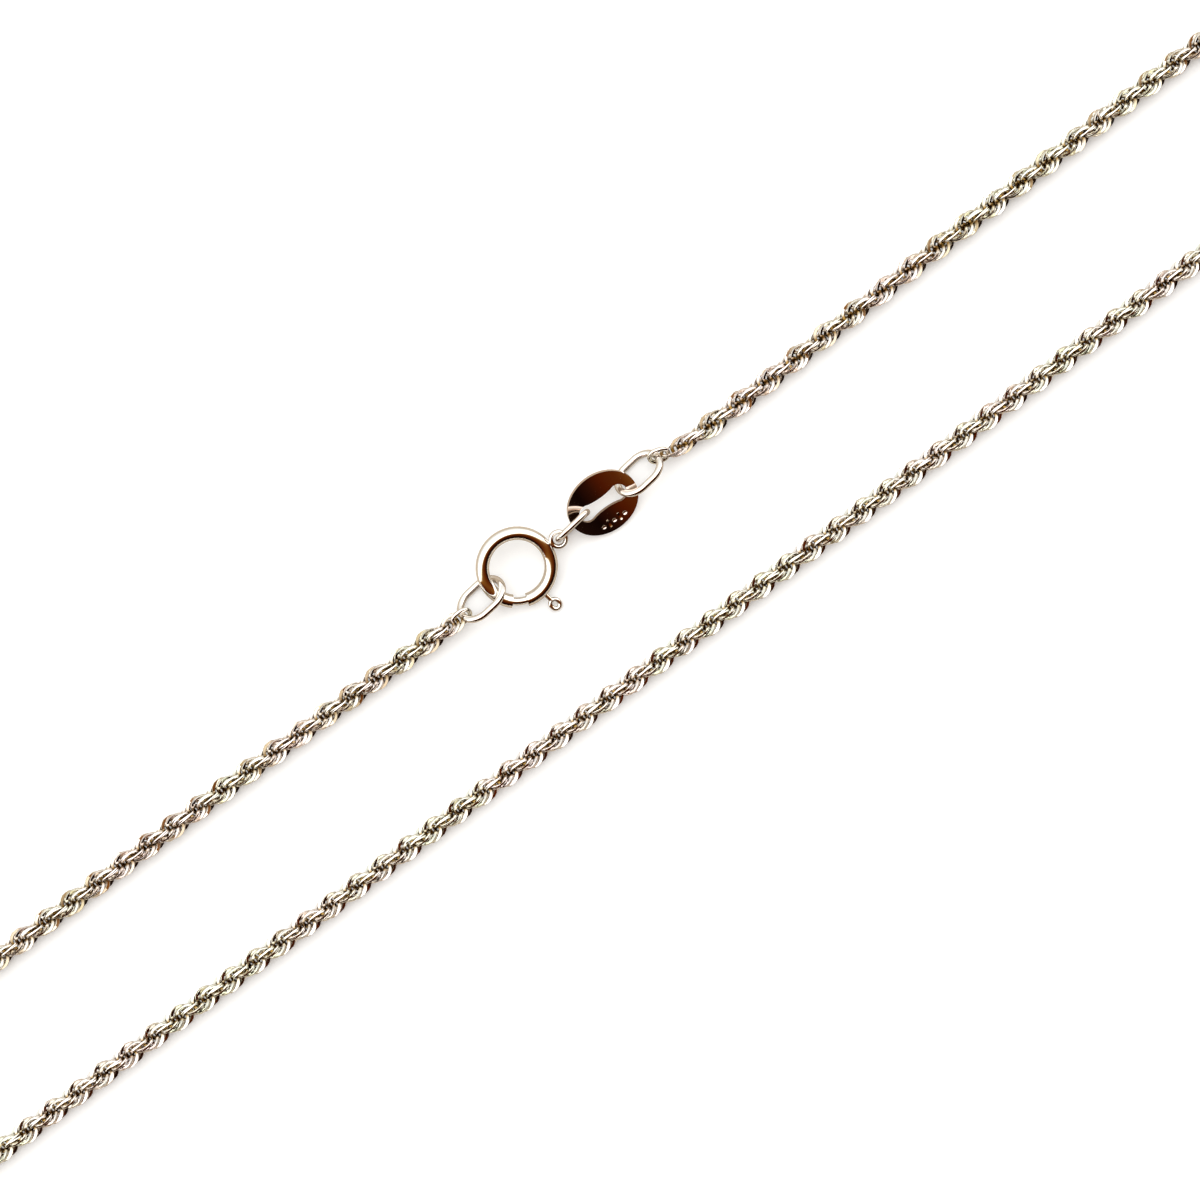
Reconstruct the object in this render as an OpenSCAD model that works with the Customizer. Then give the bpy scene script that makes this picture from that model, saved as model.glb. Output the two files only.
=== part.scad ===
// Rope chain necklace, closed, lying in a long loop on a flat surface.
// X runs along the two strands, Z is up from the surface, and the loop is centred on the origin.

/* [Rope] */
// Diameter over the twisted links
rope_d = 1.53; // [1.3:0.01:1.7]

/* [Links soldered into the rope's ends] */
// Wire of each soldered link
end_wire = 0.3; // [0.26:0.01:0.34]
// Length over the wire
end_len = 1.6; // [1.5:0.05:2]
// Gap on each side of the ring's wire inside a soldered link
end_side_gap = 0.12; // [0.1:0.01:0.16]
// Turn of the left link from the X axis
end_turn_left = 1; // [-4:1:6]
// Turn of the right link from the X axis
end_turn_right = -18; // [-22:1:-12]

/* [Oval end rings] */
// Wire of each ring
ring_wire = 0.48; // [0.42:0.01:0.52]
// Length over the wire
ring_len = 3.8; // [3.6:0.05:4.4]
// Width over the wire
ring_w = 3; // [2.9:0.05:3.3]
// Lean of each ring about its long axis, with its front side up
ring_lean = 44; // [40:1:48]
// Turn of the left ring from the X axis
ring_turn_left = 5.7; // [3:0.1:8]
// Turn of the right ring from the X axis
ring_turn_right = 6.5; // [4:0.1:9]

/* [Spring ring clasp] */
// Diameter over the ring
clasp_d = 5.5; // [5.2:0.1:6.2]
// Diameter of the bent tube
tube_d = 0.9; // [0.84:0.01:0.96]
// Wall of the tube
tube_wall = 0.14; // [0.11:0.01:0.15]
// Gap round the bolt inside the tube
bolt_gap = 0.05; // [0.04:0.01:0.06]
// Lean of the clasp about X, with its front side low
clasp_lean = 13; // [11:1:14]
// Angle where the mouth starts, counted from the X axis
mouth_start = 226; // [222:1:230]
// Angle that the mouth spans
mouth_span = 25; // [20:1:27]
// Angle that the bolt reaches into the tube past the mouth
bolt_lap = 13; // [8:1:16]
// Angle of the thumb knob on the bolt
knob_angle = 279; // [276:1:282]
// Angle of bolt left in the tube behind the knob
bolt_tail = 14; // [10:1:18]
// Post that joins the knob to the bolt through the slot
post_d = 0.3; // [0.26:0.01:0.32]
// Gap on each side of the post in its slot
slot_gap = 0.05; // [0.04:0.01:0.06]
// Post that shows between the tube and the knob
knob_neck = 0.36; // [0.3:0.01:0.42]
// Wire of the knob's curl
knob_wire = 0.3; // [0.26:0.01:0.34]
// Length of the knob's curl away from the tube
knob_len = 0.98; // [0.9:0.01:1.04]
// Width of the knob's curl
knob_w = 0.88; // [0.82:0.01:0.94]
// Angle of the soldered ear
ear_angle = 357; // [354:1:360]
// Wire of the ear
ear_wire = 0.32; // [0.28:0.01:0.36]
// Gap all round the link's wire in the ear's hole
ear_gap = 0.13; // [0.11:0.01:0.17]

/* [Link between clasp and tag] */
// Wire of the link
link_wire = 0.42; // [0.38:0.01:0.44]
// Length over the wire
link_len = 3.05; // [2.95:0.05:3.4]
// Height over the wire
link_h = 2.2; // [2:0.05:2.3]
// Turn of the link from the X axis
link_turn = 6.5; // [5:0.1:8]

/* [Oval tag] */
// Length of the tag
tag_len = 5.05; // [4.95:0.05:5.4]
// Width of the tag
tag_w = 4.22; // [4:0.01:4.4]
// Thickness of the tag
tag_t = 0.32; // [0.28:0.01:0.34]
// Lean of the tag about its long axis, with its front side low
tag_lean = 25; // [22:1:26]
// Turn of the tag from the X axis
tag_turn = -2; // [-4:0.1:0]
// Length of the slot through the tag
slot_len = 3.65; // [3.5:0.01:3.8]
// Gap on each side of the ring's wire in the slot's round ends
slot_side_gap = 0.37; // [0.35:0.01:0.42]
// Width of the slot at its middle
slot_waist = 0.88; // [0.84:0.01:1]
// Number of punched marks on the front side
mark_count = 5; // [3:1:5]
// Diameter of a round mark
mark_d = 0.32; // [0.24:0.01:0.36]
// Length of a bar mark
bar_len = 0.6; // [0.4:0.01:0.7]
// Width of a bar mark
bar_w = 0.14; // [0.1:0.01:0.18]
// Depth of every mark
mark_depth = 0.07; // [0.04:0.01:0.08]
// Distance between marks
mark_pitch = 0.42; // [0.38:0.01:0.44]

/* [Play between wires] */
// Gap between two wires that hook into each other
play = 0.12; // [0.1:0.01:0.14]
// Gap between the right ring's wire and the end of the tag's slot
slot_play = 0.16; // [0.13:0.01:0.2]
// Gap between the tag's bar and the link that holds it
tag_play = 0.42; // [0.36:0.01:0.46]

/* [Hidden] */
$fn = 64;

// Route of the rope's middle from the clasp round to the tag, in columns:
// x, y, and the number of sections up to the next point
ROUTE = [
  [-15, 4.7, 3], [-30, 4.95, 3], [-46, 5, 3], [-63, 5.1, 3], [-80, 5.4, 3], [-95, 6.3, 2],
  [-103, 7, 2], [-108.3, 4.9, 2], [-110.3, 0, 2], [-108.3, -4.9, 2], [-103, -7, 2], [-95, -6.2, 3],
  [-80, -5.5, 3], [-63, -5.3, 3], [-46, -5.35, 3], [-29, -5.5, 3], [-12, -5.6, 3],
  [6, -5.7, 3], [24, -5.85, 3], [42, -5.85, 3], [60, -5.8, 3], [80, -5.9, 3],
  [95, -6.4, 2], [103, -7, 2], [108.3, -4.9, 2], [110.3, 0, 2], [108.3, 4.9, 2], [103, 7, 2], [95, 6.4, 3],
  [80, 5.8, 3], [63, 5.5, 3], [47, 5.35, 3], [30, 5.1, 3], [13, 4.8, 2]
];
ROPE_SIDES = 8;
// Middle of the clasp on the table
CLASP_X = -3.1;
CLASP_Y = 5.05;
// How far in front of the clasp's middle the left ring hooks round the tube
RING_HOOK_Y = -0.1;
// How far in front of the tag's middle the right ring passes the slot
TAG_HOOK_Y = -0.03;
// Middle of the tag measured from the far end of the link that holds it
TAG_SIDE_Y = -0.12;
// Share of the tube's wall that the ear's solder takes
EAR_BITE = 0.6;
// Share of the band beside the slot at which the marks stand
MARK_SHARE = 0.6;

function half_line(length, wire) = (length - wire) / 2;
// Radius of an arc from its chord and its depth
function arc_radius(chord, depth) = (pow(chord / 2, 2) + pow(depth, 2)) / (2 * depth);

// Sizes that follow what passes through
end_w = ring_wire + 2 * (end_side_gap + end_wire);
ear_hole = link_wire + 2 * ear_gap;
slot_end_d = ring_wire + 2 * slot_side_gap;

// Middle lines
rope_r = rope_d / 2;
tube_r = tube_d / 2;
clasp_r = half_line(clasp_d, tube_d);
bore_d = tube_d - 2 * tube_wall;
bolt_d = bore_d - 2 * bolt_gap;
ring_reach = half_line(ring_len, ring_wire);
ring_side = half_line(ring_w, ring_wire);
end_reach = half_line(end_len, end_wire);
link_reach = half_line(link_len, link_wire);
knob_out = clasp_d / 2 + knob_neck + knob_len;
ear_out = clasp_d / 2 + ear_hole / 2 + ear_wire - EAR_BITE * tube_wall;

// Height of the row of hooked pieces, so that the lowest of them touches the table
ring_low = ring_side * sin(ring_lean) + ring_wire / 2;
clasp_low = knob_out * sin(clasp_lean) + knob_wire / 2;
tag_low = tag_w / 2 * sin(tag_lean) + tag_t / 2 * cos(tag_lean);
row_z = max(ring_low, clasp_low, tag_low, link_h / 2, rope_r);

// Where each piece hooks into the next, from the clasp outwards
function ahead(from, turn, reach) = from + reach * [cos(turn), sin(turn)];
clasp_mid = [CLASP_X, CLASP_Y];
hook_gap = tube_r + ring_wire / 2 + play;
ring_left_hook = clasp_mid + [hook_gap - clasp_r, RING_HOOK_Y];
ring_left_far = ahead(ring_left_hook, ring_turn_left, -2 * ring_reach);
end_gap = (ring_wire + end_wire) / 2 + play;
end_left_hook = ahead(ring_left_far, end_turn_left, end_gap);
rope_left = ahead(end_left_hook, end_turn_left, end_wire / 2 - 2 * end_reach);
ear_mid = clasp_mid + ear_out * [cos(ear_angle), sin(ear_angle) * cos(clasp_lean)];
link_far = ahead(ear_mid, link_turn, 2 * link_reach);
tag_mid = link_far + [slot_len / 2 - link_wire / 2 - tag_play, TAG_SIDE_Y];
slot_end_mid = ahead(tag_mid, tag_turn, slot_len / 2 - ring_wire / 2 - slot_play);
ring_right_hook = slot_end_mid + [0, TAG_HOOK_Y];
ring_right_far = ahead(ring_right_hook, ring_turn_right, 2 * ring_reach);
end_right_hook = ahead(ring_right_far, end_turn_right, -end_gap);
rope_right = ahead(end_right_hook, end_turn_right, 2 * end_reach - end_wire / 2);

// Points along the rope, where the stretch next to each end rises to the row's height
function spline(a, b, c, d, t) =
  (2 * b + (c - a) * t + (2 * a - 5 * b + 4 * c - d) * pow(t, 2) + (3 * b - a - 3 * c + d) * pow(t, 3)) / 2;
function on_table(p) = [p.x, p.y, max(p.z, rope_r)];
route_pts = concat(
  [[rope_left.x, rope_left.y, row_z]],
  [for (p = ROUTE) [p.x, p.y, rope_r]],
  [[rope_right.x, rope_right.y, row_z]]
);
sections = concat([1], [for (p = ROUTE) p.z]);
last = len(route_pts) - 1;
rope_line = concat(
  [for (i = [0:last - 1], k = [0:sections[i] - 1])
    on_table(spline(route_pts[max(i - 1, 0)], route_pts[i], route_pts[i + 1],
      route_pts[min(i + 2, last)], k / sections[i]))],
  [route_pts[last]]
);

function unit(v) = v / norm(v);
function along(line, i) = unit(line[min(i + 1, len(line) - 1)] - line[max(i - 1, 0)]);

// Closed tube with flat sides, swept along a line of points
module swept_tube(line, radius, sides) {
  corner_r = radius / cos(180 / sides);
  points = [for (i = [0:len(line) - 1], k = [0:sides - 1])
    let (
      forward = along(line, i),
      side = unit(cross([0, 0, 1], forward)),
      up = cross(forward, side),
      angle = 360 * (k + 0.5) / sides
    )
    line[i] + corner_r * (cos(angle) * side + sin(angle) * up)];
  walls = [for (i = [0:len(line) - 2], k = [0:sides - 1])
    let (next = (k + 1) % sides)
    [i * sides + k, (i + 1) * sides + k, (i + 1) * sides + next, i * sides + next]];
  start_cap = [for (k = [0:sides - 1]) k];
  end_cap = [for (k = [sides - 1:-1:0]) (len(line) - 1) * sides + k];
  polyhedron(points = points, faces = concat(walls, [start_cap, end_cap]), convexity = 10);
}

// Round wire bent through an angle
module bent_wire(radius, wire, sweep) {
  rotate_extrude(angle = sweep) translate([radius, 0]) circle(d = wire);
}

// Oval ring of round wire, with straight sides along X and round ends
module oval_ring(length, width, wire) {
  bend = half_line(width, wire);
  straight = length - width;
  for (side = [0, 180]) rotate([0, 0, side]) {
    translate([straight / 2, 0, 0]) rotate([0, 0, -90]) bent_wire(bend, wire, 180);
    translate([0, bend, 0]) rotate([0, 90, 0]) cylinder(d = wire, h = straight, center = true);
  }
}

// Ring hooked by its end at a point of the row, lying over towards X or back from it
module hooked_ring(hook, turn, lean, length, width, wire, way) {
  translate([hook.x, hook.y, row_z]) rotate([0, 0, turn])
    translate([way * half_line(length, wire), 0, 0]) rotate([lean, 0, 0])
      oval_ring(length, width, wire);
}

// The link soldered into a rope end stands square to the ring that it holds
module end_link(hook, turn, way) {
  hooked_ring(hook, turn, 90 - ring_lean, end_len, end_w, end_wire, way);
}

module place_clasp() {
  translate([clasp_mid.x, clasp_mid.y, row_z]) rotate([clasp_lean, 0, 0]) children();
}

// Part of the clasp's round tube line, from one angle over a sweep
module clasp_arc(start, sweep, wire) {
  rotate([0, 0, start]) bent_wire(clasp_r, wire, sweep);
}

module rope_chain() {
  color("silver") {
    swept_tube(rope_line, rope_r, ROPE_SIDES);
    end_link(end_left_hook, end_turn_left, -1);
    end_link(end_right_hook, end_turn_right, 1);
  }
}

module end_ring_left() {
  color("gainsboro")
    hooked_ring(ring_left_hook, ring_turn_left, -ring_lean, ring_len, ring_w, ring_wire, -1);
}

module end_ring_right() {
  color("gainsboro")
    hooked_ring(ring_right_hook, ring_turn_right, -ring_lean, ring_len, ring_w, ring_wire, 1);
}

// Slot in the tube's outer side that the knob's post runs along
module post_slot() {
  slot_w = post_d + 2 * slot_gap;
  travel = mouth_span + bolt_lap;
  rotate([0, 0, knob_angle]) {
    rotate_extrude(angle = travel) translate([clasp_r, -slot_w / 2]) square([tube_d, slot_w]);
    for (stop = [0, travel]) rotate([0, 0, stop]) translate([clasp_r, 0, 0]) rotate([0, 90, 0])
      cylinder(d = slot_w, h = tube_d);
  }
}

module clasp_ring() {
  tube_start = mouth_start + mouth_span;
  tube_sweep = 360 - mouth_span;
  color("silver") place_clasp() {
    difference() {
      clasp_arc(tube_start, tube_sweep, tube_d);
      clasp_arc(0, 360, bore_d);
      post_slot();
    }
    rotate([0, 0, ear_angle]) translate([ear_out, 0, 0])
      bent_wire((ear_hole + ear_wire) / 2, ear_wire, 360);
  }
}

module clasp_bolt() {
  bolt_start = mouth_start - bolt_lap;
  knob_mid = clasp_d / 2 + knob_neck + knob_len / 2;
  color("silver") place_clasp() {
    clasp_arc(bolt_start, knob_angle + bolt_tail - bolt_start, bolt_d);
    rotate([0, 0, knob_angle]) {
      translate([clasp_r, 0, 0]) rotate([0, 90, 0])
        cylinder(d = post_d, h = knob_mid - knob_len / 2 + knob_wire / 2 - clasp_r);
      translate([knob_mid, 0, 0]) oval_ring(knob_len, knob_w, knob_wire);
    }
  }
}

module tag_link() {
  color("gainsboro") hooked_ring(ear_mid, link_turn, 90, link_len, link_h, link_wire, 1);
}

// Slot with round ends, drawn in towards a narrower middle
module slot_outline() {
  between = slot_len - slot_end_d;
  side_r = arc_radius(between, (slot_end_d - slot_waist) / 2);
  for (way = [-1, 1]) translate([way * between / 2, 0]) circle(d = slot_end_d);
  difference() {
    square([between, slot_end_d], center = true);
    for (way = [-1, 1]) translate([0, way * (slot_waist / 2 + side_r)]) circle(r = side_r, $fn = 200);
  }
}

// Scooped marks in a row, round ones and short bars by turns
module marks() {
  band = tag_w / 2 - slot_waist / 2;
  dish_r = arc_radius(mark_d, mark_depth);
  scoop_r = arc_radius(bar_len, mark_depth);
  for (i = [0:mark_count - 1])
    translate([(i - (mark_count - 1) / 2) * mark_pitch, -slot_waist / 2 - MARK_SHARE * band, tag_t / 2])
      if (i % 2 == 0) translate([0, 0, dish_r - mark_depth]) sphere(r = dish_r);
      else translate([0, 0, scoop_r - mark_depth]) rotate([0, 90, 0])
        cylinder(r = scoop_r, h = bar_w, center = true);
}

module tag() {
  color("dimgray")
    translate([tag_mid.x, tag_mid.y, row_z]) rotate([tag_lean, 0, tag_turn]) difference() {
      linear_extrude(tag_t, center = true) difference() {
        scale([tag_len / tag_w, 1]) circle(d = tag_w, $fn = 96);
        slot_outline();
      }
      marks();
    }
}

rope_chain();
end_ring_left();
clasp_ring();
clasp_bolt();
tag_link();
tag();
end_ring_right();
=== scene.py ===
import math

import bpy
import numpy as np
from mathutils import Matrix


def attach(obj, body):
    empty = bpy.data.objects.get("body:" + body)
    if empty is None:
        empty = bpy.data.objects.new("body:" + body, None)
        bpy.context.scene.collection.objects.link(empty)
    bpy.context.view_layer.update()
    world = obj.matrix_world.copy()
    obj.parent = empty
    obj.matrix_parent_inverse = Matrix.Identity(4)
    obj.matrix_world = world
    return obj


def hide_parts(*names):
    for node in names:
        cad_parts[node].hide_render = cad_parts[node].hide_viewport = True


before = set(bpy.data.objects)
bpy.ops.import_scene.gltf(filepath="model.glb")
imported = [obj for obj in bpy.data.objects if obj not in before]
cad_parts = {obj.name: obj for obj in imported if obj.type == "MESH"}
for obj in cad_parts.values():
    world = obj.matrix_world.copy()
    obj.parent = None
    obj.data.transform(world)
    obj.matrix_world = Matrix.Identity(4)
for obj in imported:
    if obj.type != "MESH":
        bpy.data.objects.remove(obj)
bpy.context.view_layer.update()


# ---- Camera
# The necklace is seen from straight above through a long lens.
# The picture is turned, so that both strands run up to the right across it.
MM = 0.001
PICTURE_TURN = -37
PICTURE_WIDTH = 80 * MM
LENS = 100
FILM_WIDTH = 36
NEAREST_SEEN = 1 * MM

camera_data = bpy.data.cameras.new("camera")
camera_data.lens = LENS
camera_data.sensor_width = FILM_WIDTH
camera_data.clip_start = NEAREST_SEEN
camera = bpy.data.objects.new("camera", camera_data)
camera.location = (0, 0, PICTURE_WIDTH * LENS / FILM_WIDTH)
camera.rotation_euler = (0, 0, math.radians(PICTURE_TURN))
bpy.context.scene.collection.objects.link(camera)
bpy.context.scene.camera = camera
bpy.context.scene.view_settings.view_transform = "Standard"


# ---- Light tent
# The necklace lies in a white tent that is bright overhead and behind.
# Its front half is a dark warm cloth, which the polished wire mirrors as brown and black.
TENT_BRIGHTNESS = 2.4
CLOTH_SIDE = math.radians(264)
# Angle from overhead towards the cloth in degrees, and the colour there
TENT_COLOURS = [
    (-90, (0.36, 0.36, 0.34)), (-60, (0.5, 0.5, 0.48)), (-25, (1, 1, 1)), (4, (1, 0.99, 0.97)),
    (13, (0.5, 0.42, 0.28)), (17, (0.115, 0.043, 0.007)), (28, (0.055, 0.012, 0.0014)),
    (40, (0.04, 0.0055, 0.0005)), (50, (0.014, 0.003, 0.001)), (60, (0.003, 0.001, 0.0006)),
    (90, (0.01, 0.004, 0.002)),
]


def add_node(tree, kind, **settings):
    made = tree.nodes.new(kind)
    for name, value in settings.items():
        setattr(made, name, value)
    return made


def add_range(tree, low, high):
    made = add_node(tree, "ShaderNodeMapRange")
    made.inputs["From Min"].default_value = low
    made.inputs["From Max"].default_value = high
    return made


def set_ramp(ramp_node, stops):
    elements = ramp_node.color_ramp.elements
    elements[0].position = stops[0][0]
    elements[1].position = stops[-1][0]
    for position, _ in stops[1:-1]:
        elements.new(position)
    for element, (_, colour) in zip(elements, stops):
        element.color = (*colour, 1)


world = bpy.data.worlds.new("light_tent")
bpy.context.scene.world = world
world.use_nodes = True
tree = world.node_tree
tree.nodes.clear()
direction = add_node(tree, "ShaderNodeTexCoord")
towards_cloth = add_node(tree, "ShaderNodeVectorMath", operation="DOT_PRODUCT")
towards_cloth.inputs[1].default_value = (math.cos(CLOTH_SIDE), math.sin(CLOTH_SIDE), 0)
height = add_node(tree, "ShaderNodeSeparateXYZ")
lean = add_node(tree, "ShaderNodeMath", operation="ARCTAN2")
share = add_range(tree, -math.pi / 2, math.pi / 2)
tent_ramp = add_node(tree, "ShaderNodeValToRGB")
set_ramp(tent_ramp, [(0.5 + angle / 180, colour) for angle, colour in TENT_COLOURS])
tent = add_node(tree, "ShaderNodeBackground")
tent.inputs["Strength"].default_value = TENT_BRIGHTNESS
# The camera itself sees plain white past the table
backdrop = add_node(tree, "ShaderNodeBackground")
backdrop.inputs["Color"].default_value = (1, 1, 1, 1)
rays = add_node(tree, "ShaderNodeLightPath")
choice = add_node(tree, "ShaderNodeMixShader")
world_out = add_node(tree, "ShaderNodeOutputWorld")
link = tree.links.new
link(direction.outputs["Generated"], towards_cloth.inputs[0])
link(direction.outputs["Generated"], height.inputs[0])
link(towards_cloth.outputs["Value"], lean.inputs[0])
link(height.outputs["Z"], lean.inputs[1])
link(lean.outputs[0], share.inputs["Value"])
link(share.outputs[0], tent_ramp.inputs["Fac"])
link(tent_ramp.outputs["Color"], tent.inputs["Color"])
link(rays.outputs["Is Camera Ray"], choice.inputs[0])
link(tent.outputs[0], choice.inputs[1])
link(backdrop.outputs[0], choice.inputs[2])
link(choice.outputs[0], world_out.inputs["Surface"])


# ---- Table
# A sheet of matt white acrylic under the necklace, wide enough for any view of it.
# It is lit from below as well, up to white, so that only the shadows beside the chain show.
TABLE_HALF = 0.6
TABLE_WHITE = (0.785, 0.8, 0.805)
TABLE_ROUGHNESS = 0.7
TABLE_GLOSS = 0.1
TABLE_GLOW = 0.27
# Painted reflection: the table is painted this warm grey where the polished wire mirrors it, and stays
# white elsewhere
TABLE_PAINTED_REFLECTION = (0.55, 0.475, 0.38)


def new_piece(name, points, faces, smooth=True):
    mesh = bpy.data.meshes.new(name)
    mesh.from_pydata(np.asarray(points).tolist(), [], np.asarray(faces).tolist())
    mesh.polygons.foreach_set("use_smooth", [smooth] * len(mesh.polygons))
    mesh.update()
    piece = bpy.data.objects.new(name, mesh)
    bpy.context.scene.collection.objects.link(piece)
    return piece


table_corners = [(-TABLE_HALF, -TABLE_HALF, 0), (TABLE_HALF, -TABLE_HALF, 0),
                 (TABLE_HALF, TABLE_HALF, 0), (-TABLE_HALF, TABLE_HALF, 0)]
table = new_piece("table", table_corners, [(0, 1, 2, 3)], smooth=False)
board = bpy.data.materials.new("white_board")
board.use_nodes = True
tree = board.node_tree
shader = tree.nodes["Principled BSDF"]
shader.inputs["Roughness"].default_value = TABLE_ROUGHNESS
shader.inputs["Specular IOR Level"].default_value = TABLE_GLOSS
shader.inputs["Emission Color"].default_value = (1, 1, 1, 1)
rays = add_node(tree, "ShaderNodeLightPath")
white_or_painted_reflection = add_node(tree, "ShaderNodeMix", data_type="RGBA")
white_or_painted_reflection.inputs["A"].default_value = (*TABLE_WHITE, 1)
white_or_painted_reflection.inputs["B"].default_value = (*TABLE_PAINTED_REFLECTION, 1)
glow = add_node(tree, "ShaderNodeMath", operation="MULTIPLY")
glow.inputs[1].default_value = TABLE_GLOW
link = tree.links.new
# Painted reflection: seen in the polished metal the table is warm grey, seen directly it is white
link(rays.outputs["Is Glossy Ray"], white_or_painted_reflection.inputs["Factor"])
link(white_or_painted_reflection.outputs["Result"], shader.inputs["Base Color"])
link(rays.outputs["Is Camera Ray"], glow.inputs[0])
link(glow.outputs[0], shader.inputs["Emission Strength"])
table.data.materials.append(board)


# ---- Rope
# The rope is some two and a half thousand round wire links, each hooked through the ones before it,
# so that they stack into two strands that wind round each other as a right-hand screw.
# They are bent from wire rolled flat, hooked together and soldered, and the whole rope is then polished.

# Thickness over the humps: the solid's plain tube is a little slimmer
ROPE_D = 1.6 * MM
# A link: the radius its wire is bent to, and how far its outer side lies from the rope's middle
LINK_BEND = 0.7 * MM
LINK_OUTER = 0.815 * MM
# Its wire, measured in the link's plane and across it
LINK_WIRE = 0.22 * MM
LINK_WIRE_ACROSS = 0.12 * MM
# How each link faces: along the rope, outwards from its middle, and round it
LINK_FACING = np.array([0.08, -0.18, 1])
# Pairs of links in a full twist, the place of the first, and the gap in a pair, as shares of their spacing
PAIRS_PER_TWIST = 12
FIRST_PAIR = 0.44
PAIR_GAP = 0.1
# The links don't lie quite alike
LINK_STRAY = 0.035
STRAY_SEED = 8
# Outline of the wire in shares of half its size: two rounded tips and a flat on each side
WIRE_OUTLINE = np.array([(1, 0), (0.72, 1), (-0.72, 1), (-1, 0), (-0.72, -1), (0.72, -1)])
WIRE_STEPS = 18
# Length of a full twist at distances from the rope's left and right end: it was twisted unevenly
TWIST_LEFT = [(0, 4.18), (40, 4.18), (60, 4.14), (150, 4.14), (170, 4.18)]
TWIST_RIGHT = [(170, 4.18), (150, 4.197), (60, 4.197), (40, 4.18), (20, 4.8), (0, 4.8)]
START_TWIST = -0.09
# Share of the full thickness at distances from the left and right end, where the links hang slack
SLIM_LEFT = [(0, 0.8), (1.2, 1)]
SLIM_RIGHT = [(2.8, 1), (1.6, 0.78), (0, 0.72)]
# The clasp row's height and the rope's two ends, which it holds up a little
ROW_Z = 1.11527 * MM
ROPE_LEFT = (-8.534, 4.609)
ROPE_RIGHT = (9.361, 5.156)
# The rope's route over the table, from the clasp round to the tag
ROUTE = [
    (-15, 4.78), (-30, 5.03), (-46, 5.08), (-63, 5.15), (-80, 5.4), (-95, 6.3),
    (-103, 7), (-108.3, 4.9), (-110.3, 0), (-108.3, -4.9), (-103, -7), (-95, -6.2),
    (-80, -5.5), (-63, -5.25), (-46, -5.27), (-29, -5.42), (-12, -5.52),
    (6, -5.62), (24, -5.77), (42, -5.77), (60, -5.75), (80, -5.9),
    (95, -6.4), (103, -7), (108.3, -4.9), (110.3, 0), (108.3, 4.9), (103, 7), (95, 6.4),
    (80, 5.8), (63, 5.55), (47, 5.43), (30, 5.18), (13, 4.86),
]
ROUTE_STEPS = 30
# Run over which the rope's direction is taken
LOOK_AHEAD = 0.5 * MM
# The rope is made as four pieces, to keep each one's mesh small
ROPE_PIECES = 4


def spline(a, b, c, d, t):
    return (2 * b + (c - a) * t + (2 * a - 5 * b + 4 * c - d) * t**2 + (3 * b - a - 3 * c + d) * t**3) / 2


def rope_line():
    """Points along the rope's middle, close together."""
    stops = [(*ROPE_LEFT, ROW_Z / MM)]
    stops += [(x, y, ROPE_D / 2 / MM) for x, y in ROUTE]
    stops += [(*ROPE_RIGHT, ROW_Z / MM)]
    stops = np.array(stops) * MM
    last = len(stops) - 1
    line = [
        spline(stops[max(i - 1, 0)], stops[i], stops[i + 1], stops[min(i + 2, last)], k / ROUTE_STEPS)
        for i in range(last) for k in range(ROUTE_STEPS)
    ]
    line = np.array(line + [stops[last]])
    line[:, 2] = np.maximum(line[:, 2], ROPE_D / 2)
    return line


line = rope_line()
run = np.concatenate([[0], np.cumsum(np.linalg.norm(np.diff(line, axis=0), axis=1))])
rope_length = run[-1]


def unit(vectors):
    return vectors / np.linalg.norm(vectors, axis=-1, keepdims=True)


def on_line(s):
    return np.stack([np.interp(s, run, line[:, axis]) for axis in range(3)], axis=-1)


def at_run(s):
    """Place and direction of the rope's middle after a run along it."""
    return on_line(s), unit(on_line(s + LOOK_AHEAD) - on_line(s - LOOK_AHEAD))


def runs_from_ends(left, right):
    """Runs along the rope, from distances to its left end and then to its right end."""
    return [far * MM for far, _ in left] + [rope_length - far * MM for far, _ in right]


slim_runs = runs_from_ends(SLIM_LEFT, SLIM_RIGHT)
slim_shares = [share for _, share in SLIM_LEFT + SLIM_RIGHT]
twist_runs = runs_from_ends(TWIST_LEFT, TWIST_RIGHT)
twist_lengths = [length * MM for _, length in TWIST_LEFT + TWIST_RIGHT]
# Full twists wound up to each point of the line
twist_steps = np.diff(run) / np.interp(run[1:], twist_runs, twist_lengths)
twists = START_TWIST + np.concatenate([[0], np.cumsum(twist_steps)])


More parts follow.
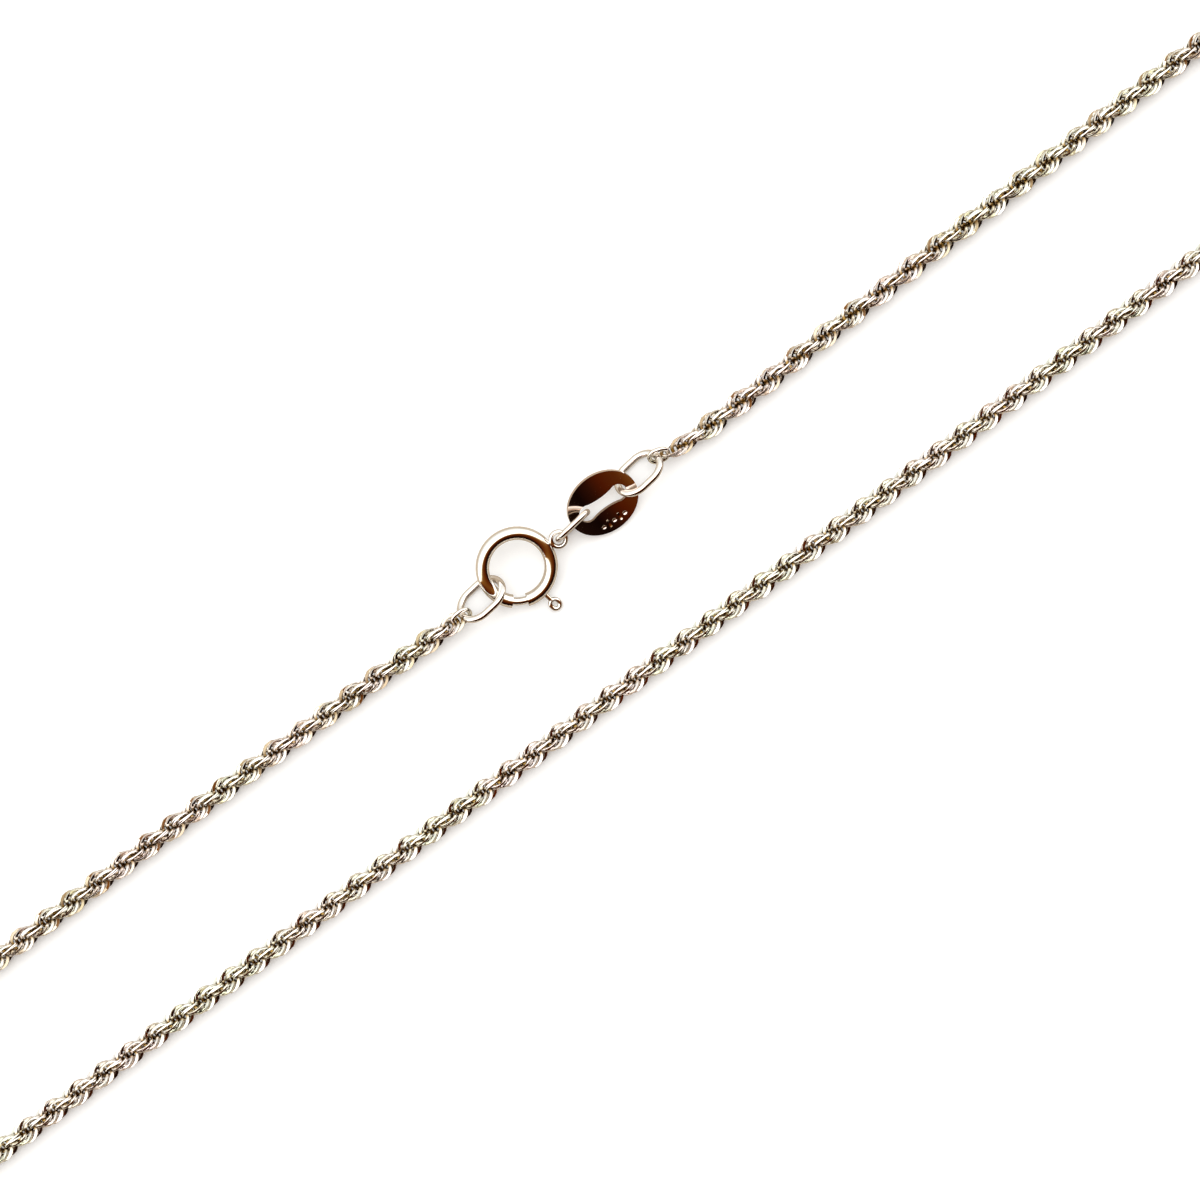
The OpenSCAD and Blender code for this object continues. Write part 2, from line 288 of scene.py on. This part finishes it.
def link_rings(twist, strand, chance):
    """Points of many links at once: one row for each link, then round the link, then round its wire.

    The second result is how far out each point lies, as a share of the rope's half thickness.
    """
    link_run = np.interp(twist, twists, run)
    place, forward = at_run(link_run)
    side = unit(np.cross([0, 0, 1], forward))
    up = np.cross(forward, side)
    turn = 2 * math.pi * twist + strand * math.pi
    out = np.cos(turn)[:, None] * side + np.sin(turn)[:, None] * up
    across = np.cross(forward, out)
    # The link's plane, and its middle, so that its outer side comes out at the same height
    facing = LINK_FACING + chance.normal(0, LINK_STRAY, (len(twist), 3))
    normal = unit(facing[:, :1] * forward + facing[:, 1:2] * out + facing[:, 2:] * across)
    first = unit(out - normal * np.sum(out * normal, axis=1, keepdims=True))
    second = np.cross(normal, first)
    lean = np.sqrt(1 - np.sum(out * normal, axis=1) ** 2)
    middle = LINK_OUTER - LINK_WIRE / 2 - LINK_BEND * lean
    centre = place + middle[:, None] * out
    # The wire's outline, carried round the link
    round_link = np.arange(WIRE_STEPS) * 2 * math.pi / WIRE_STEPS
    radial = (np.cos(round_link)[None, :, None] * first[:, None, :]
              + np.sin(round_link)[None, :, None] * second[:, None, :])
    reach = LINK_BEND + LINK_WIRE / 2 * WIRE_OUTLINE[:, 0]
    rings = (centre[:, None, None, :] + radial[:, :, None, :] * reach[None, None, :, None]
             + normal[:, None, None, :] * (LINK_WIRE_ACROSS / 2 * WIRE_OUTLINE[:, 1])[None, None, :, None])
    # What would stand out of the rope is pressed in to its thickness
    middle_line = place[:, None, None, :]
    ahead = forward[:, None, None, :]
    from_middle = rings - middle_line
    along = np.sum(from_middle * ahead, axis=-1, keepdims=True) * ahead
    outward = from_middle - along
    far = np.linalg.norm(outward, axis=-1, keepdims=True)
    pressed = np.minimum(1, ROPE_D / 2 / far)
    slim = np.interp(link_run, slim_runs, slim_shares)[:, None, None, None]
    return middle_line + along + outward * pressed * slim, (far * pressed)[..., 0] / (ROPE_D / 2)


def wire_faces(steps, sides):
    """Faces of a closed ring of wire, whose points go round the wire and then on along it."""
    i, k = np.meshgrid(np.arange(steps), np.arange(sides), indexing="ij")
    next_i = (i + 1) % steps
    next_k = (k + 1) % sides
    faces = np.stack([i * sides + k, next_i * sides + k,
                      next_i * sides + next_k, i * sides + next_k], axis=-1)
    return faces.reshape(-1, 4)


def keep_outward(piece, shares):
    """Leaves each point's share of the way out on the mesh, for the painted shade in the rope's metal."""
    outward = piece.data.attributes.new("outward", "FLOAT", "POINT")
    outward.data.foreach_set("value", shares.astype(np.float32))


# Wear on every metal here: grain of its dull patches and scratches, and how the scratches are drawn out
PATCH_DETAIL = 5
SCRATCH_DETAIL = 3
SCRATCH_SCALE = 4000
SCRATCH_TURN = (0.3, 0.2, 0.6)
SCRATCH_DRAW = (1, 0.12, 0.5)
# From where to where in the noise a patch goes from polished to dull
DULL_FROM, DULL_TO = 0.35, 0.75
# The scratches' share of the bump, where the patches have the rest, and the bump's depth
SCRATCH_SHARE = 0.35
WEAR_DEPTH = 0.02 * MM


def wear_group():
    """Handling wear on polished metal: patches of dull metal, fine scratches and their bump."""
    group = bpy.data.node_groups.new("handling_wear", "ShaderNodeTree")
    socket = group.interface.new_socket
    for name in ("Patch Scale", "Polish", "Dull", "Bump"):
        socket(name, in_out="INPUT", socket_type="NodeSocketFloat")
    socket("Roughness", in_out="OUTPUT", socket_type="NodeSocketFloat")
    socket("Patches", in_out="OUTPUT", socket_type="NodeSocketFloat")
    socket("Normal", in_out="OUTPUT", socket_type="NodeSocketVector")
    inside = add_node(group, "NodeGroupInput")
    result = add_node(group, "NodeGroupOutput")
    place = add_node(group, "ShaderNodeTexCoord")
    patches = add_node(group, "ShaderNodeTexNoise")
    patches.inputs["Detail"].default_value = PATCH_DETAIL
    drawn_out = add_node(group, "ShaderNodeMapping")
    drawn_out.inputs["Rotation"].default_value = SCRATCH_TURN
    drawn_out.inputs["Scale"].default_value = SCRATCH_DRAW
    scratches = add_node(group, "ShaderNodeTexNoise")
    scratches.inputs["Scale"].default_value = SCRATCH_SCALE
    scratches.inputs["Detail"].default_value = SCRATCH_DETAIL
    dullness = add_range(group, DULL_FROM, DULL_TO)
    relief = add_node(group, "ShaderNodeMix", data_type="FLOAT")
    relief.inputs["Factor"].default_value = SCRATCH_SHARE
    bump = add_node(group, "ShaderNodeBump")
    bump.inputs["Distance"].default_value = WEAR_DEPTH
    link = group.links.new
    link(place.outputs["Object"], patches.inputs["Vector"])
    link(inside.outputs["Patch Scale"], patches.inputs["Scale"])
    link(place.outputs["Object"], drawn_out.inputs["Vector"])
    link(drawn_out.outputs[0], scratches.inputs["Vector"])
    link(patches.outputs[0], dullness.inputs["Value"])
    link(inside.outputs["Polish"], dullness.inputs["To Min"])
    link(inside.outputs["Dull"], dullness.inputs["To Max"])
    link(dullness.outputs[0], result.inputs["Roughness"])
    link(patches.outputs[0], result.inputs["Patches"])
    link(patches.outputs[0], relief.inputs["A"])
    link(scratches.outputs[0], relief.inputs["B"])
    link(relief.outputs["Result"], bump.inputs["Height"])
    link(inside.outputs["Bump"], bump.inputs["Strength"])
    link(bump.outputs[0], result.inputs["Normal"])
    return group


handling_wear = wear_group()


def metal(name, bright, dull, polish, dulled, patch_scale, bump):
    """Polished white metal: bright and dull colour by patches, roughness and bump from wear.

    polish and dulled are its least and greatest roughness. The node named finish puts out its colour.
    """
    made = bpy.data.materials.new(name)
    made.use_nodes = True
    tree = made.node_tree
    shader = tree.nodes["Principled BSDF"]
    shader.inputs["Metallic"].default_value = 1
    wear = add_node(tree, "ShaderNodeGroup", node_tree=handling_wear)
    wear.inputs["Patch Scale"].default_value = patch_scale
    wear.inputs["Polish"].default_value = polish
    wear.inputs["Dull"].default_value = dulled
    wear.inputs["Bump"].default_value = bump
    finish = add_node(tree, "ShaderNodeMix", name="finish", data_type="RGBA")
    finish.inputs["A"].default_value = (*bright, 1)
    finish.inputs["B"].default_value = (*dull, 1)
    link = tree.links.new
    link(wear.outputs["Patches"], finish.inputs["Factor"])
    link(finish.outputs["Result"], shader.inputs["Base Color"])
    link(wear.outputs["Roughness"], shader.inputs["Roughness"])
    link(wear.outputs["Normal"], shader.inputs["Normal"])
    return made


rope_metal = metal("rope_metal", bright=(0.92, 0.907, 0.885), dull=(0.83, 0.81, 0.77),
                   polish=0.05, dulled=0.16, patch_scale=1500, bump=0.1)
tree = rope_metal.node_tree
link = tree.links.new
# A breath of tarnish turns the rope pinkish in places and yellowish in others
PINKISH = (1, 0.95, 0.955)
YELLOWISH = (0.98, 1, 0.93)
TARNISH_SCALE = 260
TARNISH_DETAIL = 2
TARNISH_FROM, TARNISH_TO = 0.4, 0.6
place = add_node(tree, "ShaderNodeTexCoord")
tarnish = add_node(tree, "ShaderNodeTexNoise")
tarnish.inputs["Scale"].default_value = TARNISH_SCALE
tarnish.inputs["Detail"].default_value = TARNISH_DETAIL
hue = add_range(tree, TARNISH_FROM, TARNISH_TO)
tints = add_node(tree, "ShaderNodeMix", data_type="RGBA")
tints.inputs["A"].default_value = (*PINKISH, 1)
tints.inputs["B"].default_value = (*YELLOWISH, 1)
tinted = add_node(tree, "ShaderNodeMix", data_type="RGBA", blend_type="MULTIPLY")
tinted.inputs["Factor"].default_value = 1
link(place.outputs["Object"], tarnish.inputs["Vector"])
link(tarnish.outputs[0], hue.inputs["Value"])
link(hue.outputs[0], tints.inputs["Factor"])
link(tree.nodes["finish"].outputs["Result"], tinted.inputs["A"])
link(tints.outputs["Result"], tinted.inputs["B"])
# Painted shade: the metal is painted darker between the links, deep inside the rope, up to these shares of
# the way out
DEPTH_SHADE = (0.25, 0.15, 0.04)
DEEP_SHADE_TO, UNSHADED_FROM = 0.28, 0.64
outward = add_node(tree, "ShaderNodeAttribute", attribute_name="outward")
unshaded_share = add_range(tree, DEEP_SHADE_TO, UNSHADED_FROM)
painted_depth_shade = add_node(tree, "ShaderNodeMix", data_type="RGBA")
painted_depth_shade.inputs["A"].default_value = (*DEPTH_SHADE, 1)
# Painted shade: points deep inside the rope get the dark brown colour, points near its outside keep the
# metal's own
link(outward.outputs["Fac"], unshaded_share.inputs["Value"])
link(unshaded_share.outputs[0], painted_depth_shade.inputs["Factor"])
link(tinted.outputs["Result"], painted_depth_shade.inputs["B"])
link(painted_depth_shade.outputs["Result"], tree.nodes["Principled BSDF"].inputs["Base Color"])

wire_sides = len(WIRE_OUTLINE)
on_flat = WIRE_OUTLINE[:, 1] != 0
one_link = wire_faces(WIRE_STEPS, wire_sides)
link_points = WIRE_STEPS * wire_sides
chance = np.random.default_rng(STRAY_SEED)
pairs = np.arange(math.ceil(twists[0] * PAIRS_PER_TWIST), math.floor(twists[-1] * PAIRS_PER_TWIST))
for number, piece_pairs in enumerate(np.array_split(pairs, ROPE_PIECES), start=1):
    points, shares = [], []
    for strand in (0, 1):
        link_twists = (piece_pairs + FIRST_PAIR + PAIR_GAP * (strand - 0.5)) / PAIRS_PER_TWIST
        ring_points, ring_shares = link_rings(link_twists, strand, chance)
        points.append(ring_points.reshape(-1, 3))
        shares.append(ring_shares.reshape(-1))
    points = np.concatenate(points)
    links = len(points) // link_points
    faces = (one_link[None] + (np.arange(links) * link_points)[:, None, None]).reshape(-1, 4)
    piece = new_piece(f"rope_links_{number}", points, faces)
    keep_outward(piece, np.concatenate(shares))
    # The edges of the rolled flats stay crisp
    edge_ends = np.empty(2 * len(piece.data.edges), np.int32)
    piece.data.edges.foreach_get("vertices", edge_ends)
    edge_ends = edge_ends.reshape(-1, 2) % wire_sides
    crisp = piece.data.attributes.new("sharp_edge", "BOOLEAN", "EDGE")
    crisp.data.foreach_set("value", (edge_ends[:, 0] == edge_ends[:, 1]) & on_flat[edge_ends[:, 0]])
    piece.data.materials.append(rope_metal)
    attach(piece, "necklace")
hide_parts("rope_chain")


# ---- End links of the rope
# The first and the last link are larger ovals of round wire, soldered to the rope.
# Each is hooked into the end ring beside it, leans over it and is finished with the rope.
END_WIRE = 0.3 * MM
END_LENGTH = 1.6 * MM
END_WIDTH = 1.32 * MM
END_LEAN = 46
# Where each hooks in, in millimetres, its turn in degrees, and the side of the hook that it lies on
END_HOOKS = [(-7.384, 4.629, 1, -1), (8.267, 5.512, -18, 1)]
RING_SIDES = 16
RING_STEPS = 48


def turned(points, axis, degrees):
    c, s = math.cos(math.radians(degrees)), math.sin(math.radians(degrees))
    first, second = [(1, 2), (2, 0), (0, 1)][axis]
    result = points.copy()
    result[..., first] = c * points[..., first] - s * points[..., second]
    result[..., second] = s * points[..., first] + c * points[..., second]
    return result


def oval_ring(length, width, wire):
    """Round wire along an oval with straight sides, as rows of points round the wire."""
    bend = (width - wire) / 2
    angles = np.arange(RING_STEPS) * 2 * math.pi / RING_STEPS + math.pi / RING_STEPS
    outward = np.stack([np.cos(angles), np.sin(angles), np.zeros(RING_STEPS)], axis=-1)
    middle = outward * bend
    middle[:, 0] += np.sign(np.cos(angles)) * (length - width) / 2
    round_wire = np.arange(RING_SIDES) * 2 * math.pi / RING_SIDES
    return (middle[:, None, :] + outward[:, None, :] * (wire / 2 * np.cos(round_wire))[None, :, None]
            + np.array([0, 0, 1.0]) * (wire / 2 * np.sin(round_wire))[None, :, None])


end_rings = []
for hook_x, hook_y, turn, way in END_HOOKS:
    ring = turned(oval_ring(END_LENGTH, END_WIDTH, END_WIRE), axis=0, degrees=END_LEAN)
    ring[..., 0] += way * (END_LENGTH - END_WIRE) / 2
    ring = turned(ring, axis=2, degrees=turn) + np.array([hook_x * MM, hook_y * MM, ROW_Z])
    end_rings.append(ring.reshape(-1, 3))
ring_faces = wire_faces(RING_STEPS, RING_SIDES)
end_links = new_piece("rope_end_links", np.concatenate(end_rings),
                      np.concatenate([ring_faces, ring_faces + RING_STEPS * RING_SIDES]))
keep_outward(end_links, np.ones(len(end_links.data.vertices)))
end_links.data.materials.append(rope_metal)
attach(end_links, "necklace")


# ---- End rings and the link to the tag
# Oval jump rings of round wire, bent on a former, closed and soldered.
# They are tumbled bright and a little worn where they hang in each other.
ring_metal = metal("ring_metal", bright=(0.93, 0.9, 0.875), dull=(0.84, 0.8, 0.76),
                   polish=0.07, dulled=0.2, patch_scale=1200, bump=0.12)


def give_finish(names, finish):
    for name in names:
        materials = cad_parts[name].data.materials
        materials.clear()
        materials.append(finish)


give_finish(["end_ring_left", "end_ring_right", "tag_link"], ring_metal)


# ---- Clasp
# A spring ring: a hollow tube bent to a ring, with a soldered ear and a bolt inside.
# It is stamped and bent from thin sheet, plated and polished to a mirror.
clasp_metal = metal("clasp_metal", bright=(0.91, 0.88, 0.84), dull=(0.82, 0.78, 0.73),
                    polish=0.04, dulled=0.12, patch_scale=700, bump=0.06)
give_finish(["clasp_ring", "clasp_bolt"], clasp_metal)


# ---- Tag
# A stamped oval plate with a slot and punched marks, held between its link and the right end ring.
# It is polished to a mirror, so that most of it shows the dark cloth in front.
# Painted shade: the tag's metal is painted darker and redder than the other metals, deepening the dark
# cloth it mirrors.
tag_metal = metal("tag_metal", bright=(0.77, 0.66, 0.59), dull=(0.64, 0.53, 0.46),
                  polish=0.04, dulled=0.12, patch_scale=600, bump=0.06)
# The press leaves its face slightly twisted, so that what it mirrors changes from end to end.
# The twist is a point's rise, in metres, over the product of its distances along and across.
TAG_MIDDLE = (4.03 * MM, 5.058 * MM, 1.115 * MM)
TAG_TWIST = -105
tree = tag_metal.node_tree
shader = tree.nodes["Principled BSDF"]
place = add_node(tree, "ShaderNodeTexCoord")
from_middle = add_node(tree, "ShaderNodeVectorMath", operation="SUBTRACT")
from_middle.inputs[1].default_value = TAG_MIDDLE
parts = add_node(tree, "ShaderNodeSeparateXYZ")
product = add_node(tree, "ShaderNodeMath", operation="MULTIPLY")
rise = add_node(tree, "ShaderNodeMath", operation="MULTIPLY")
rise.inputs[1].default_value = TAG_TWIST
twist = add_node(tree, "ShaderNodeBump")
twist.inputs["Distance"].default_value = 1
link = tree.links.new
link(place.outputs["Object"], from_middle.inputs[0])
link(from_middle.outputs[0], parts.inputs[0])
link(parts.outputs["X"], product.inputs[0])
link(parts.outputs["Y"], product.inputs[1])
link(product.outputs[0], rise.inputs[0])
link(rise.outputs[0], twist.inputs["Height"])
link(shader.inputs["Normal"].links[0].from_socket, twist.inputs["Normal"])
link(twist.outputs[0], shader.inputs["Normal"])
give_finish(["tag"], tag_metal)
